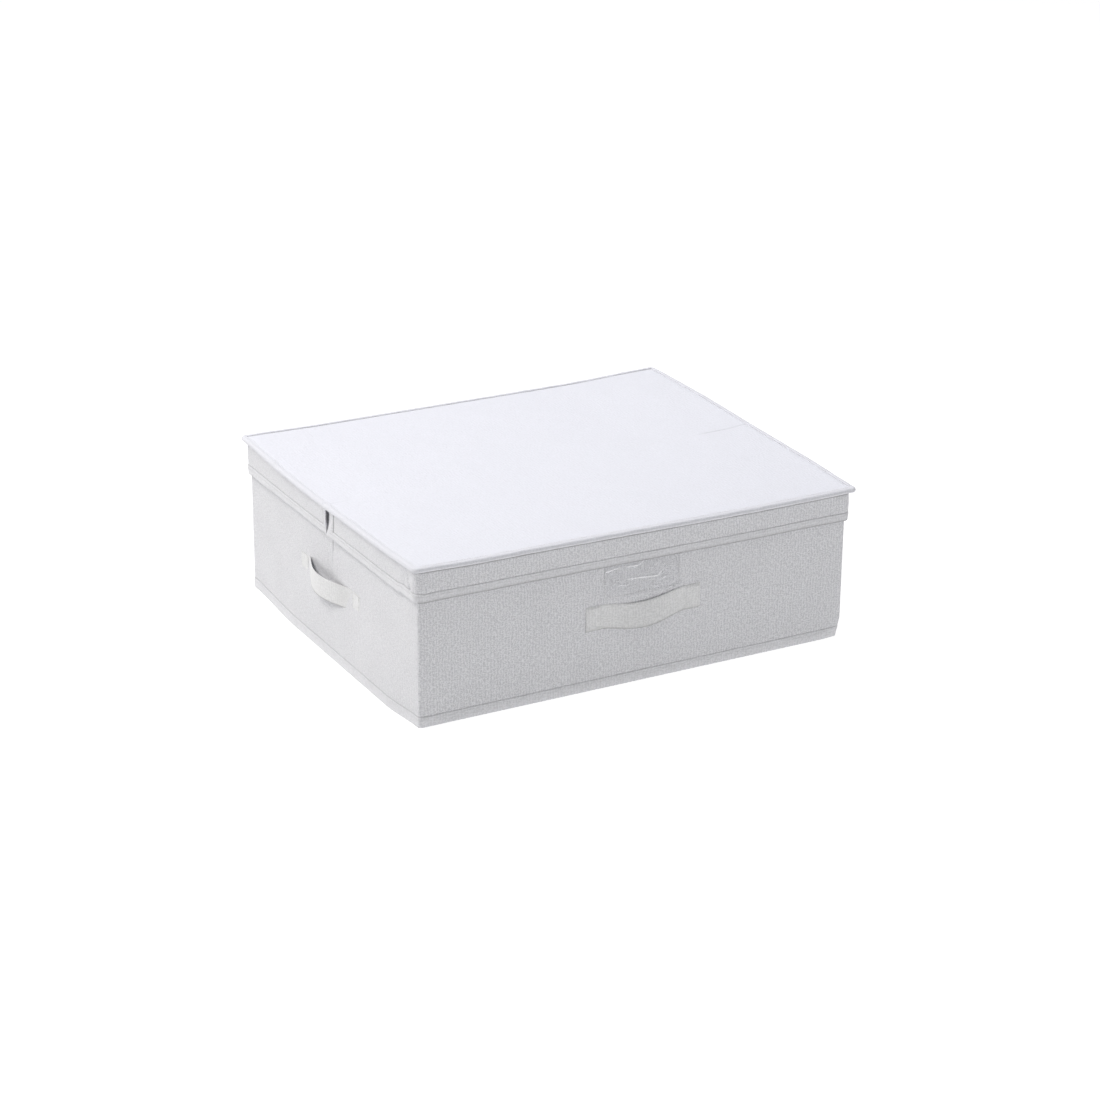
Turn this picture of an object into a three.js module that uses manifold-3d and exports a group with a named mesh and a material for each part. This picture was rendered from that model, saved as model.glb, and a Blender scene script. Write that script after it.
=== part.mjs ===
// A flat, cloth-covered storage box that slides under a bed, with a lift-off lid in two leaves.
//
// Each wall is a sandwich of outer cloth, grey board and lining. The short walls are creased upright in
// the middle, so they fold inwards and the long walls come together, with the cloth floor folding up
// between them. The lid is two boards under one cloth, creased along its length, and its skirt is slit
// at both ends of that crease, so the front leaf folds back over the rear one. Straps are sewn on the
// front and on both short sides as handles, and the front has a clear pocket for a label.
//
// Millimetres. X runs along the long side, -Y is the front (label and handle), +Z is up, and the origin
// is on the ground under the middle of the box.

import * as THREE from "three";
import { mergeVertices } from "three/addons/utils/BufferGeometryUtils.js";
import Module from "manifold-3d";

const wasm = await Module();
wasm.setup();

// ---- Driving dimensions ----

const LID_LENGTH = 600; // over the rim, along X
const LID_DEPTH = 500; // over the rim, along Y
const HEIGHT = 200; // ground to the top of the lid's rim
const LID_INSET = 10; // from the rim's outer face in to the box's outer cloth

const CLOTH = 1; // outer cloth
const WALL_BOARD = 2.5;
const LINING = 0.5;
const TAPE = 0.5; // one layer of binding tape
const TAPE_WIDTH = 12;

const GROUND_TAPE = 1; // tape under the walls, which the box stands on
const WALL_TOP = 194; // the tape over it adds TAPE
const CORNER_GAP = 1; // between a short wall's end and the long wall's lining
const CREASE_GAP = 0.25; // half the gap in the cloth at a crease
const BOARD_TO_CREASE = 5; // the boards stop this short of a crease, so the cloth is the hinge
const BOARD_TO_CORNER = 2;

const RIM = 6; // square section of the tape-bound rim around the lid
const RIM_RADIUS = 5; // corner radius of the rim in plan
const LID_CLOTH_DROP = 0.5; // the lid's cloth lies this far below the rim
const LID_BOARD = 3;
const SKIRT_INSET = 5.5;
const SKIRT_BOTTOM = 156.5;
const SLIT_HALF = 6; // half the slit in the skirt, before its tape
const SLIT_TAPE_WIDTH = 9;

const STRAP = { tab: 22, thickness: 1.5, width: 30, steps: 28 };
const FRONT_HANDLE = { span: 156, bow: 20, height: 94, shift: 6 }; // height is the strap's middle
const SIDE_HANDLE = { span: 168, bow: 15, height: 90, shift: 0 };

const POCKET = { width: 104, bottom: 112, top: 156, shift: 5, seam: 4, film: 0.25, depth: 0.75 };

// ---- Sizes that follow from them ----

const BOX_X = LID_LENGTH / 2 - LID_INSET; // outer cloth of the short walls
const BOX_Y = LID_DEPTH / 2 - LID_INSET; // outer cloth of the long walls
const WALL = CLOTH + WALL_BOARD + LINING;
const INSIDE_X = BOX_X - WALL;
const INSIDE_Y = BOX_Y - WALL;
const PANEL_END = INSIDE_Y - CORNER_GAP; // how far a short wall reaches towards a long one
const RIM_BOTTOM = HEIGHT - RIM;
const LID_CLOTH_TOP = HEIGHT - LID_CLOTH_DROP;

// ---- Materials ----

function matte(name, color, roughness = 0.9, extra = {}) {
  return new THREE.MeshStandardMaterial({ name, color, roughness, metalness: 0, ...extra });
}

const linen = matte("linen_cloth", 0xe9e9ec);
const tape = matte("binding_tape", 0xe6e6e4);
const lining = matte("lining", 0xe4e4e4);
const greyBoard = matte("grey_board", 0xa9a49a);
const strapCloth = matte("strap_cloth", 0xe2e2df);
const film = matte("clear_film", 0xf4f6f8, 0.15, { transparent: true, opacity: 0.35 });

// ---- Helpers ----

function named(name, geometry, material) {
  const mesh = new THREE.Mesh(geometry, material);
  mesh.name = name;
  return mesh;
}

// A box from its lowest and highest corner.
function block([x0, y0, z0], [x1, y1, z1]) {
  const box = new THREE.BoxGeometry(x1 - x0, y1 - y0, z1 - z0);
  return box.translate((x0 + x1) / 2, (y0 + y1) / 2, (z0 + z1) / 2);
}

function solidOf(geometry) {
  const bare = geometry.clone().deleteAttribute("normal").deleteAttribute("uv");
  const merged = mergeVertices(bare, 1e-4);
  const mesh = new wasm.Mesh({
    numProp: 3,
    vertProperties: merged.attributes.position.array,
    triVerts: new Uint32Array(merged.index.array),
  });
  return new wasm.Manifold(mesh);
}

// The first geometry with the others cut away.
function cut(geometry, ...tools) {
  const left = tools.reduce((solid, tool) => solid.subtract(solidOf(tool)), solidOf(geometry));
  const mesh = left.getMesh();
  return new THREE.BufferGeometry()
    .setAttribute("position", new THREE.BufferAttribute(new Float32Array(mesh.vertProperties), 3))
    .setIndex(new THREE.BufferAttribute(new Uint32Array(mesh.triVerts), 1));
}

function polygon(points) {
  return new THREE.Shape(points.map(([x, y]) => new THREE.Vector2(x, y)));
}

// An outline drawn in (Y, Z), run along X from x0 to x1.
function alongX(points, x0, x1) {
  const toWorld = new THREE.Matrix4().makeBasis(
    new THREE.Vector3(0, 1, 0),
    new THREE.Vector3(0, 0, 1),
    new THREE.Vector3(1, 0, 0),
  );
  return new THREE.ExtrudeGeometry(polygon(points), { depth: x1 - x0, bevelEnabled: false })
    .applyMatrix4(toWorld)
    .translate(x0, 0, 0);
}

// ---- Walls ----
// A wall is drawn as if it stood at the front: u runs along it, and its outer face is at y = -reach.
// A group then turns it to its own side of the box.

// Tape folded over the wall's top edge.
function topHem(reach, u0, u1) {
  const outside = -reach - TAPE;
  const inside = -reach + WALL + TAPE;
  const foot = WALL_TOP + TAPE - TAPE_WIDTH;
  const outline = [
    [outside, foot],
    [-reach, foot],
    [-reach, WALL_TOP],
    [inside - TAPE, WALL_TOP],
    [inside - TAPE, foot],
    [inside, foot],
    [inside, WALL_TOP + TAPE],
    [outside, WALL_TOP + TAPE],
  ];
  return alongX(outline, u0, u1);
}

// Tape up the outside of the wall's foot and under it.
function baseTape(reach, u0, u1) {
  const outside = -reach - TAPE;
  const outline = [
    [outside, 0],
    [-reach + WALL, 0],
    [-reach + WALL, GROUND_TAPE],
    [-reach, GROUND_TAPE],
    [-reach, TAPE_WIDTH],
    [outside, TAPE_WIDTH],
  ];
  return alongX(outline, u0, u1);
}

// boardEnds is how far the board stops short of the wall's low and high ends; tapeOver is how far the
// tapes run past both ends.
function wall(name, { reach, u0, u1, boardEnds, tapeOver = 0, turn = 0 }) {
  const layer = (from, to, shortLow = 0, shortHigh = 0) =>
    block([u0 + shortLow, -reach + from, GROUND_TAPE], [u1 - shortHigh, -reach + to, WALL_TOP]);
  const group = new THREE.Group();
  group.rotation.z = turn;
  group.add(
    named(`${name}_cloth`, layer(0, CLOTH), linen),
    named(`${name}_board`, layer(CLOTH, CLOTH + WALL_BOARD, ...boardEnds), greyBoard),
    named(`${name}_lining`, layer(CLOTH + WALL_BOARD, WALL), lining),
    named(`${name}_top_hem`, topHem(reach, u0 - tapeOver, u1 + tapeOver), tape),
    named(`${name}_base_tape`, baseTape(reach, u0 - tapeOver, u1 + tapeOver), tape),
  );
  return group;
}

function longWall(name, turn) {
  const boardEnds = [BOARD_TO_CORNER, BOARD_TO_CORNER];
  return wall(name, { reach: BOX_Y, u0: -BOX_X, u1: BOX_X, boardEnds, tapeOver: TAPE, turn });
}

// Half of a short wall. end is +1 where u runs from the crease up to the corner, and -1 the other way.
function shortWallHalf(name, turn, end) {
  const ends =
    end > 0
      ? { u0: CREASE_GAP, u1: PANEL_END, boardEnds: [BOARD_TO_CREASE, BOARD_TO_CORNER] }
      : { u0: -PANEL_END, u1: -CREASE_GAP, boardEnds: [BOARD_TO_CORNER, BOARD_TO_CREASE] };
  return wall(name, { reach: BOX_X, turn, ...ends });
}

// ---- Handles and label pocket, drawn at the front like a wall ----

// A strap sewn flat at both ends, which stands off the wall in a smooth bow between them.
function handle(name, reach, { span, bow, height, shift }, turn = 0) {
  const half = span / 2;
  const bowHalf = half - STRAP.tab;
  const standOff = (u) =>
    Math.abs(u) < bowHalf ? (bow / 2) * (1 + Math.cos((Math.PI * u) / bowHalf)) : 0;
  const along = [-half];
  for (let i = 0; i <= STRAP.steps; i++) along.push(-bowHalf + (2 * bowHalf * i) / STRAP.steps);
  along.push(half);
  const inner = along.map((u) => [u, -reach - standOff(u)]);
  const outer = inner.map(([u, y]) => [u, y - STRAP.thickness]);
  const strip = new THREE.ExtrudeGeometry(polygon([...outer, ...inner.reverse()]), {
    depth: STRAP.width,
    bevelEnabled: false,
  });
  const mesh = named(name, strip.translate(shift, 0, height - STRAP.width / 2), strapCloth);
  mesh.rotation.z = turn;
  return mesh;
}

// Clear film sewn down on three sides and open at the top for a paper label.
function labelPocket() {
  const { width, bottom, top, shift, seam, film: skin, depth } = POCKET;
  const half = width / 2;
  const body = block([-half, -BOX_Y - depth, bottom], [half, -BOX_Y, top]);
  const room = block(
    [-half + seam, -BOX_Y - depth + skin, bottom + seam],
    [half - seam, -BOX_Y + 1, top + 1],
  );
  return named("label_pocket", cut(body, room).translate(shift, 0, 0), film);
}

// ---- Floor ----

// Cloth that lies on the ground between the feet of the walls, and is sewn to them.
function floor() {
  const x = INSIDE_X - CREASE_GAP;
  const y = INSIDE_Y - CREASE_GAP;
  return named("floor_cloth", block([-x, -y, 0], [x, y, GROUND_TAPE]), linen);
}

// ---- Lid ----
// A leaf is drawn as the front one; the rear leaf is the same one turned half round.

// The three-sided outline of a leaf, set in from the rim's outer face, with rounded outer corners.
function leafOutline(inset, crease) {
  const x = LID_LENGTH / 2 - inset;
  const y = LID_DEPTH / 2 - inset;
  const r = Math.max(RIM_RADIUS - inset, 1);
  const shape = new THREE.Shape();
  shape.moveTo(-x, -crease);
  shape.lineTo(-x, -y + r);
  shape.absarc(-x + r, -y + r, r, Math.PI, 1.5 * Math.PI);
  shape.lineTo(x - r, -y);
  shape.absarc(x - r, -y + r, r, -0.5 * Math.PI, 0);
  shape.lineTo(x, -crease);
  return shape;
}

function leafSlab(inset, crease, z0, z1) {
  const flat = { depth: z1 - z0, bevelEnabled: false, curveSegments: 4 };
  return new THREE.ExtrudeGeometry(leafOutline(inset, crease), flat).translate(0, 0, z0);
}

// A band around three sides of a leaf, from one inset to another.
function leafBand(outer, inner, crease, z0, z1) {
  const middle = leafSlab(inner, crease - 1, z0 - 1, z1 + 1);
  return cut(leafSlab(outer, crease, z0, z1), middle);
}

// The skirt is one strip along the leaf's long edge and one down each of its short edges.
function skirtStrips() {
  const x = LID_LENGTH / 2 - SKIRT_INSET;
  const y = LID_DEPTH / 2 - SKIRT_INSET;
  const strip = ([x0, y0], [x1, y1]) => block([x0, y0, SKIRT_BOTTOM], [x1, y1, RIM_BOTTOM]);
  return {
    long: strip([-x, -y], [x, -y + CLOTH]),
    lowX: strip([-x, -y + CLOTH], [-x + CLOTH, -SLIT_HALF]),
    highX: strip([x - CLOTH, -y + CLOTH], [x, -SLIT_HALF]),
  };
}

// Tape folded round an upright edge of the slit, on the short side at side = -1 or +1.
function slitTape(name, side, skirt) {
  const outside = LID_LENGTH / 2 - SKIRT_INSET + TAPE;
  const inside = outside - CLOTH - 2 * TAPE;
  const [x0, x1] = side > 0 ? [inside, outside] : [-outside, -inside];
  const foot = SKIRT_BOTTOM + TAPE_WIDTH;
  const slab = block([x0, -SLIT_HALF + TAPE - SLIT_TAPE_WIDTH, foot], [x1, -SLIT_HALF + TAPE, RIM_BOTTOM]);
  return named(name, cut(slab, skirt), tape);
}

function leaf(name, turn, [sideAtLowX, sideAtHighX]) {
  const clothLow = LID_CLOTH_TOP - CLOTH;
  const boardLow = clothLow - LID_BOARD;
  const skirt = skirtStrips();
  const hem = leafBand(
    SKIRT_INSET - TAPE,
    SKIRT_INSET + CLOTH + TAPE,
    SLIT_HALF - TAPE,
    SKIRT_BOTTOM - TAPE,
    SKIRT_BOTTOM - TAPE + TAPE_WIDTH,
  );
  const group = new THREE.Group();
  group.rotation.z = turn;
  group.add(
    named(`${name}_cloth`, leafSlab(RIM, CREASE_GAP, clothLow, LID_CLOTH_TOP), linen),
    named(`${name}_board`, leafSlab(RIM, BOARD_TO_CREASE, boardLow, clothLow), greyBoard),
    named(`${name}_lining`, leafSlab(RIM, CREASE_GAP, boardLow - LINING, boardLow), lining),
    named(`${name}_rim`, leafBand(0, RIM, CREASE_GAP, RIM_BOTTOM, HEIGHT), tape),
    named(`${name}_skirt_long`, skirt.long, linen),
    named(`${name}_skirt_${sideAtLowX}`, skirt.lowX, linen),
    named(`${name}_skirt_${sideAtHighX}`, skirt.highX, linen),
    named(`${name}_hem`, cut(hem, skirt.long, skirt.lowX, skirt.highX), tape),
    slitTape(`${name}_slit_tape_${sideAtLowX}`, -1, skirt.lowX),
    slitTape(`${name}_slit_tape_${sideAtHighX}`, 1, skirt.highX),
  );
  return group;
}

// ---- Assembly ----

const box = new THREE.Group();
const quarter = Math.PI / 2;

box.add(
  longWall("front", 0),
  longWall("back", Math.PI),
  shortWallHalf("left_front", -quarter, 1),
  shortWallHalf("left_rear", -quarter, -1),
  shortWallHalf("right_front", quarter, -1),
  shortWallHalf("right_rear", quarter, 1),
);
box.add(
  handle("front_handle", BOX_Y, FRONT_HANDLE),
  handle("left_handle", BOX_X, SIDE_HANDLE, -quarter),
  handle("right_handle", BOX_X, SIDE_HANDLE, quarter),
  labelPocket(),
);
box.add(floor());
box.add(leaf("lid_front", 0, ["left", "right"]), leaf("lid_rear", Math.PI, ["right", "left"]));

export default box;
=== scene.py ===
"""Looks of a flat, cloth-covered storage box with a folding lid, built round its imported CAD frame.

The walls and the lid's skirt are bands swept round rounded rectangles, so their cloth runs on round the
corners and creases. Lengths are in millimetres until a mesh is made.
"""

import math

import bpy
import numpy as np
from mathutils import Matrix, Vector


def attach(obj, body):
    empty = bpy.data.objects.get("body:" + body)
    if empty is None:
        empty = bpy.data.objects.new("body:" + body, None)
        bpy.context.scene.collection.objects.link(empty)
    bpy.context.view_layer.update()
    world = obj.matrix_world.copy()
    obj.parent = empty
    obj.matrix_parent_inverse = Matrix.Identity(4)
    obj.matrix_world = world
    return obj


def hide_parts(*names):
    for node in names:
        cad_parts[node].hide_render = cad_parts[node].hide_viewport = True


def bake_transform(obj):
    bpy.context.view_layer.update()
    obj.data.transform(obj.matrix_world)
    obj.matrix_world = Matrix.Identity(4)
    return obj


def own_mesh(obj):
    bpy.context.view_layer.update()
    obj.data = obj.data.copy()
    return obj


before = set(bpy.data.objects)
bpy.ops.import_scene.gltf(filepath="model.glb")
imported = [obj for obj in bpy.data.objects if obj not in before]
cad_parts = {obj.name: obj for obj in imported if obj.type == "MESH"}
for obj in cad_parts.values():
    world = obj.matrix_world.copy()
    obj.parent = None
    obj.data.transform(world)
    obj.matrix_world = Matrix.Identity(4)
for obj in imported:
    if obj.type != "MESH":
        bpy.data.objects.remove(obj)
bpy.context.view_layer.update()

MM = 0.001
LID_X, LID_Y, TOP = 300.0, 250.0, 200.0  # half sizes of the lid over its rim, and its height
BOX_X, BOX_Y = 290.0, 240.0  # half sizes of the box over its outer cloth


# ---- Small numeric helpers ----


def smooth(x):
    x = np.clip(x, 0.0, 1.0)
    return x * x * (3 - 2 * x)


def hill(x, centre, width):
    return np.exp(-(((x - centre) / width) ** 2))


def steps(a, b, size):
    """Evenly spaced values from a to b, no further apart than size."""
    return np.linspace(a, b, max(2, int(math.ceil(abs(b - a) / size)) + 1))


def ripple(u, v, length, seed=0.0):
    """A gentle, uneven surface between -1 and 1, with swells of about that length."""
    k = 2 * math.pi / length
    a = np.sin(k * (u + 0.35 * v) + 1.3 * seed + 0.4)
    b = np.sin(0.63 * k * (u - 0.8 * v) + 2.1 * seed + 1.7)
    c = np.sin(1.37 * k * (0.45 * u + v) + 0.7 * seed + 2.9)
    return (a * b + c * b + a * c) / 2.2


def rows(values, count):
    return np.repeat(np.array(values, float)[None, :], count, 0)


# ---- Rounded rectangle that bands are swept round ----


class Ring:
    """A rounded rectangle seen from above, walked anticlockwise from the middle of its back."""

    def __init__(self, hx, hy, r):
        self.hx, self.hy, self.r = hx, hy, r
        x, y, arc = hx - r, hy - r, math.pi * r / 2
        runs = [x, arc, 2 * y, arc, 2 * x, arc, 2 * y, arc, x]
        self.ends = np.concatenate([[0.0], np.cumsum(runs)])
        self.length = float(self.ends[-1])

    def at(self, s):
        """Points and outward normals at distances s along the ring."""
        s = np.mod(np.asarray(s, float), self.length)
        x, y, r = self.hx - self.r, self.hy - self.r, self.r
        run = np.clip(np.searchsorted(self.ends, s, side="right") - 1, 0, 8)
        t = s - self.ends[run]
        px, py, nx, ny = (np.zeros_like(s) for _ in range(4))
        straight = [
            (0, 0.0, self.hy, -1, 0, 0, 1),
            (2, -self.hx, y, 0, -1, -1, 0),
            (4, -x, -self.hy, 1, 0, 0, -1),
            (6, self.hx, -y, 0, 1, 1, 0),
            (8, x, self.hy, -1, 0, 0, 1),
        ]
        for i, x0, y0, dx, dy, ox, oy in straight:
            m = run == i
            px[m], py[m] = x0 + dx * t[m], y0 + dy * t[m]
            nx[m], ny[m] = ox, oy
        corners = [(1, -x, y, 90), (3, -x, -y, 180), (5, x, -y, 270), (7, x, y, 0)]
        for i, cx, cy, a0 in corners:
            m = run == i
            a = math.radians(a0) + t[m] / max(r, 1e-9)
            nx[m], ny[m] = np.cos(a), np.sin(a)
            px[m], py[m] = cx + r * nx[m], cy + r * ny[m]
        return px, py, nx, ny

    def left(self, y):
        return self.ends[2] + (self.hy - self.r) - y

    def front(self, x):
        return self.ends[4] + x + (self.hx - self.r)

    def right(self, y):
        return self.ends[6] + y + (self.hy - self.r)

    def stations(self, a, b, coarse, marks=()):
        """Distances from a to b, close in the corners and round each mark (place, reach, size)."""
        cuts = {a, b}
        cuts.update(e for e in self.ends if a < e < b)
        for place, reach, _ in marks:
            cuts.update(p for p in (place - reach, place, place + reach) if a < p < b)
        cuts = sorted(cuts)
        found = [np.array([a])]
        for lo, hi in zip(cuts, cuts[1:]):
            middle = (lo + hi) / 2
            size = coarse
            run = int(np.searchsorted(self.ends, middle % self.length, side="right") - 1)
            if run % 2 == 1:
                size = 1.2
            for place, reach, fine in marks:
                if abs(middle - place) < reach:
                    size = min(size, fine)
            found.append(steps(lo, hi, size)[1:])
        return np.concatenate(found)


# ---- Meshes from swept bands, stitches and grids ----


class Build:
    """Gathers the vertices, faces, texture coordinates and painted light of one mesh object: painted shade on
    cloth, painted highlights on film.
    """

    def __init__(self):
        self.co, self.faces, self.uv, self.mat, self.painted_light = [], [], [], [], []
        self.count = 0

    def grid(self, points, u, v, painted_light=None, closed_u=False, closed_v=False, flip=False):
        """A grid of quads. points is (n, m, 3) in mm, and u and v are (n, m) in mm."""
        n, m = points.shape[:2]
        base = self.count
        self.co.append(points.reshape(-1, 3))
        self.painted_light.append(np.zeros(n * m) if painted_light is None else np.asarray(painted_light, float).reshape(-1))
        self.count += n * m
        for i in range(n if closed_u else n - 1):
            i2 = (i + 1) % n
            for j in range(m if closed_v else m - 1):
                j2 = (j + 1) % m
                corners = [(i, j), (i2, j), (i2, j2), (i, j2)]
                quad = [base + row * m + column for row, column in corners]
                wu, wv = [u[c] for c in corners], [v[c] for c in corners]
                if closed_u and i2 == 0:
                    wu[1] = wu[0] + (u[1, j] - u[0, j])
                    wu[2] = wu[3] + (u[1, j2] - u[0, j2])
                if closed_v and j2 == 0:
                    wv[2] = wv[1] + 1.0
                    wv[3] = wv[0] + 1.0
                if flip:
                    quad, wu, wv = quad[::-1], wu[::-1], wv[::-1]
                self.faces.append(quad)
                self.uv.extend(zip(wu, wv))
                self.mat.append(0)
        return base

    def cap(self, indices):
        """One face that closes an end."""
        self.faces.append(list(indices))
        self.uv.extend((0.0, 0.3 * k) for k in range(len(indices)))
        self.mat.append(0)

    def slab(self, face, back, u, v, painted_light=None, flip=False, turn=lambda edge: edge):
        """A sheet with a thickness: two grids, closed round their edge.

        flip turns it over, and turn gives the order in which each face of the edge is wound.
        """
        n, m = face.shape[:2]
        base = self.grid(face, u, v, painted_light, flip=flip)
        self.grid(back, u, v, flip=not flip)
        ring = [i * m for i in range(n)] + [(n - 1) * m + j for j in range(1, m)]
        ring += [i * m + m - 1 for i in range(n - 2, -1, -1)] + [j for j in range(m - 2, 0, -1)]
        for a, b in zip(ring, ring[1:] + ring[:1]):
            edge = [base + a, base + a + n * m, base + b + n * m, base + b]
            self.cap(turn(edge[::-1] if flip else edge))

    def thread(self, centres, along, out, length=2.3, radius=0.32):
        """A stitch at each centre: a short raised bead of thread, in the second material."""
        side = np.cross(along, out)
        turn = 2 * math.pi * np.arange(5) / 5
        for c, t, o, b in zip(centres, along, out, side):
            base = self.count
            middle = c + o * 0.1
            points = [c - t * length / 2]
            for end in (-0.28, 0.28):
                for a in turn:
                    spoke = (o * math.cos(a) * 0.8 + b * math.sin(a)) * radius
                    points.append(middle + t * length * end + spoke)
            points.append(c + t * length / 2)
            self.co.append(np.array(points))
            self.painted_light.append(np.zeros(12))
            self.count += 12
            for k in range(5):
                k2 = (k + 1) % 5
                loops = [
                    [base, base + 1 + k2, base + 1 + k],
                    [base + 1 + k, base + 1 + k2, base + 6 + k2, base + 6 + k],
                    [base + 11, base + 6 + k, base + 6 + k2],
                ]
                for f in loops:
                    self.faces.append(f)
                    self.uv.extend((0.4 * q, 0.0) for q in range(len(f)))
                    self.mat.append(1)

    def make(self, name, materials, sharp=50):
        mesh = bpy.data.meshes.new(name)
        co = np.concatenate(self.co) * MM
        mesh.from_pydata(co.tolist(), [], self.faces)
        layer = mesh.uv_layers.new(name="UVMap")
        layer.data.foreach_set("uv", (np.array(self.uv, np.float32) * MM).ravel())
        mesh.polygons.foreach_set("material_index", np.array(self.mat, np.int32))
        # This attribute carries painted light: painted shade on the cloth, painted highlights on the film.
        mark = mesh.attributes.new("painted_light", "FLOAT", "POINT")
        mark.data.foreach_set("value", np.concatenate(self.painted_light).astype(np.float32))
        for m in materials:
            mesh.materials.append(m)
        mesh.shade_smooth()
        mesh.set_sharp_from_angle(angle=math.radians(sharp))
        mesh.validate()
        mesh.update()
        obj = bpy.data.objects.new(name, mesh)
        bpy.context.scene.collection.objects.link(obj)
        return obj


def swept_points(ring, s, d, z, warp=None):
    """Warped points at distance s along a ring, d outside it and z up, and outward normals."""
    s, d, z = np.broadcast_arrays(np.asarray(s, float), np.asarray(d, float), np.asarray(z, float))
    x, y, nx, ny = ring.at(s)
    p = np.stack([x + nx * d, y + ny * d, z], -1)
    n = np.stack([nx, ny, np.zeros_like(nx)], -1)
    return (p if warp is None else warp(p, n, s)), n


def sweep(build, ring, stations, loop, warp=None, closed=False, fade=None, line=None):
    """Sweeps a closed loop of (d, z[, painted shade]) along the stations.

    fade scales the painted shade by side and height, and line adds upright lines of painted shade.
    """
    loop = np.array([(q[0], q[1], q[2] if len(q) > 2 else 0.0) for q in loop])
    d, z, mark = loop[:, 0], loop[:, 1], loop[:, 2]
    p, _ = swept_points(ring, stations[:, None], d[None, :], z[None, :], warp)
    edge = np.hypot(np.diff(d), np.diff(z))
    v = np.concatenate([[0.0], np.cumsum(edge)]) + z[0]
    u = np.repeat(stations[:, None], len(loop), 1)
    v, painted_light = rows(v, len(stations)), rows(mark, len(stations))
    place = (*(q[:, None] for q in ring.at(stations)), z[None, :])
    if fade is not None:
        painted_light = painted_light * fade(*place)
    if line is not None:
        painted_light = np.maximum(painted_light, line(*place))
    base = build.grid(p, u, v, painted_light, closed_u=closed, closed_v=True)
    if not closed:
        m, n = len(loop), len(stations)
        build.cap([base + j for j in range(m)])
        build.cap([base + (n - 1) * m + j for j in reversed(range(m))])


def stitch_line(build, ring, a, b, d, z, warp=None, pitch=3.4):
    """Stitches from a to b along a ring."""
    count = max(1, int((b - a) / pitch))
    s = a + (np.arange(count) + 0.5) * (b - a) / count
    centres, n = swept_points(ring, s, d, z, warp)
    along = swept_points(ring, s + 0.8, d, z, warp)[0] - swept_points(ring, s - 0.8, d, z, warp)[0]
    along /= np.linalg.norm(along, axis=1)[:, None]
    build.thread(centres, along, n)


def stitch_path(build, points, out, pitch=3.0):
    """Stitches along a polyline given in mm, lying on a surface that faces out."""
    points = np.asarray(points, float)
    legs = np.linalg.norm(np.diff(points, axis=0), axis=1)
    where = np.concatenate([[0.0], np.cumsum(legs)])
    count = max(1, int(where[-1] / pitch))
    s = (np.arange(count) + 0.5) * where[-1] / count
    find = lambda q: np.stack([np.interp(q, where, points[:, k]) for k in range(3)], -1)
    along = find(np.minimum(s + 0.6, where[-1])) - find(np.maximum(s - 0.6, 0))
    along /= np.maximum(np.linalg.norm(along, axis=1), 1e-9)[:, None]
    build.thread(find(s), along, rows(out, count))


# ---- Materials ----


class Nodes:
    """A short way to write a material's node tree."""

    def __init__(self, name):
        self.material = bpy.data.materials.new(name)
        self.material.use_nodes = True
        self.tree = self.material.node_tree
        self.tree.nodes.clear()
        self.out = self.add("ShaderNodeOutputMaterial")
        self.shader = self.add("ShaderNodeBsdfPrincipled")
        self.link(self.shader.outputs["BSDF"], self.out.inputs["Surface"])

    def add(self, kind, **values):
        node = self.tree.nodes.new(kind)
        for key, value in values.items():
            setattr(node, key, value)
        return node

    def link(self, a, b):
        self.tree.links.new(a, b)

    def math(self, op, a, b=None, clamp=False):
        node = self.add("ShaderNodeMath", operation=op, use_clamp=clamp)
        for socket, value in zip(node.inputs, (a, b)):
            if value is None:
                continue
            if isinstance(value, (int, float)):
                socket.default_value = value
            else:
                self.link(value, socket)
        return node.outputs[0]

    def times(self, a, b, clamp=False):
        return self.math("MULTIPLY", a, b, clamp)

    def plus(self, a, b, clamp=False):
        return self.math("ADD", a, b, clamp)

    def millimetres(self, wrapped):
        """The place on the flat cloth, or in the object, in millimetres."""
        if wrapped:
            where = self.add("ShaderNodeUVMap", uv_map="UVMap").outputs["UV"]
        else:
            where = self.add("ShaderNodeTexCoord").outputs["Object"]
        return self.mapped(where, (1000, 1000, 1000))

    def noise(self, vector, scale, detail=3.0, rough=0.5):
        node = self.add("ShaderNodeTexNoise")
        node.inputs["Scale"].default_value = scale
        node.inputs["Detail"].default_value = detail
        node.inputs["Roughness"].default_value = rough
        self.link(vector, node.inputs["Vector"])
        return node.outputs["Fac"]

    def mapped(self, vector, scale, turn=0.0):
        node = self.add("ShaderNodeMapping")
        node.inputs["Scale"].default_value = scale
        node.inputs["Rotation"].default_value = (0, 0, turn)
        self.link(vector, node.inputs["Vector"])
        return node.outputs["Vector"]

    def split(self, vector):
        node = self.add("ShaderNodeSeparateXYZ")
        self.link(vector, node.inputs["Vector"])
        return node.outputs

    def ramp(self, value, stops):
        node = self.add("ShaderNodeValToRGB")
        ramp = node.color_ramp
        while len(ramp.elements) < len(stops):
            ramp.elements.new(0.5)
        for element, (place, colour) in zip(ramp.elements, stops):
            element.position = place
            element.color = (*colour, 1.0)
        self.link(value, node.inputs["Fac"])
        return node.outputs["Color"]

    def set(self, name, value):
        """Gives an input of the shader a value, or joins a node to it."""
        if isinstance(value, (int, float, tuple)):
            self.shader.inputs[name].default_value = value
        else:
            self.link(value, self.shader.inputs[name])

    def mixed(self, factor, a, colour):
        node = self.add("ShaderNodeMix", data_type="RGBA")
        node.inputs["B"].default_value = (*colour, 1)
        self.link(factor, node.inputs["Factor"])
        self.link(a, node.inputs["A"])
        return node.outputs["Result"]

    def bump(self, height, strength, distance):
        node = self.add("ShaderNodeBump")
        node.inputs["Strength"].default_value = strength
        node.inputs["Distance"].default_value = distance
        self.link(height, node.inputs["Height"])
        return node.outputs["Normal"]


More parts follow.
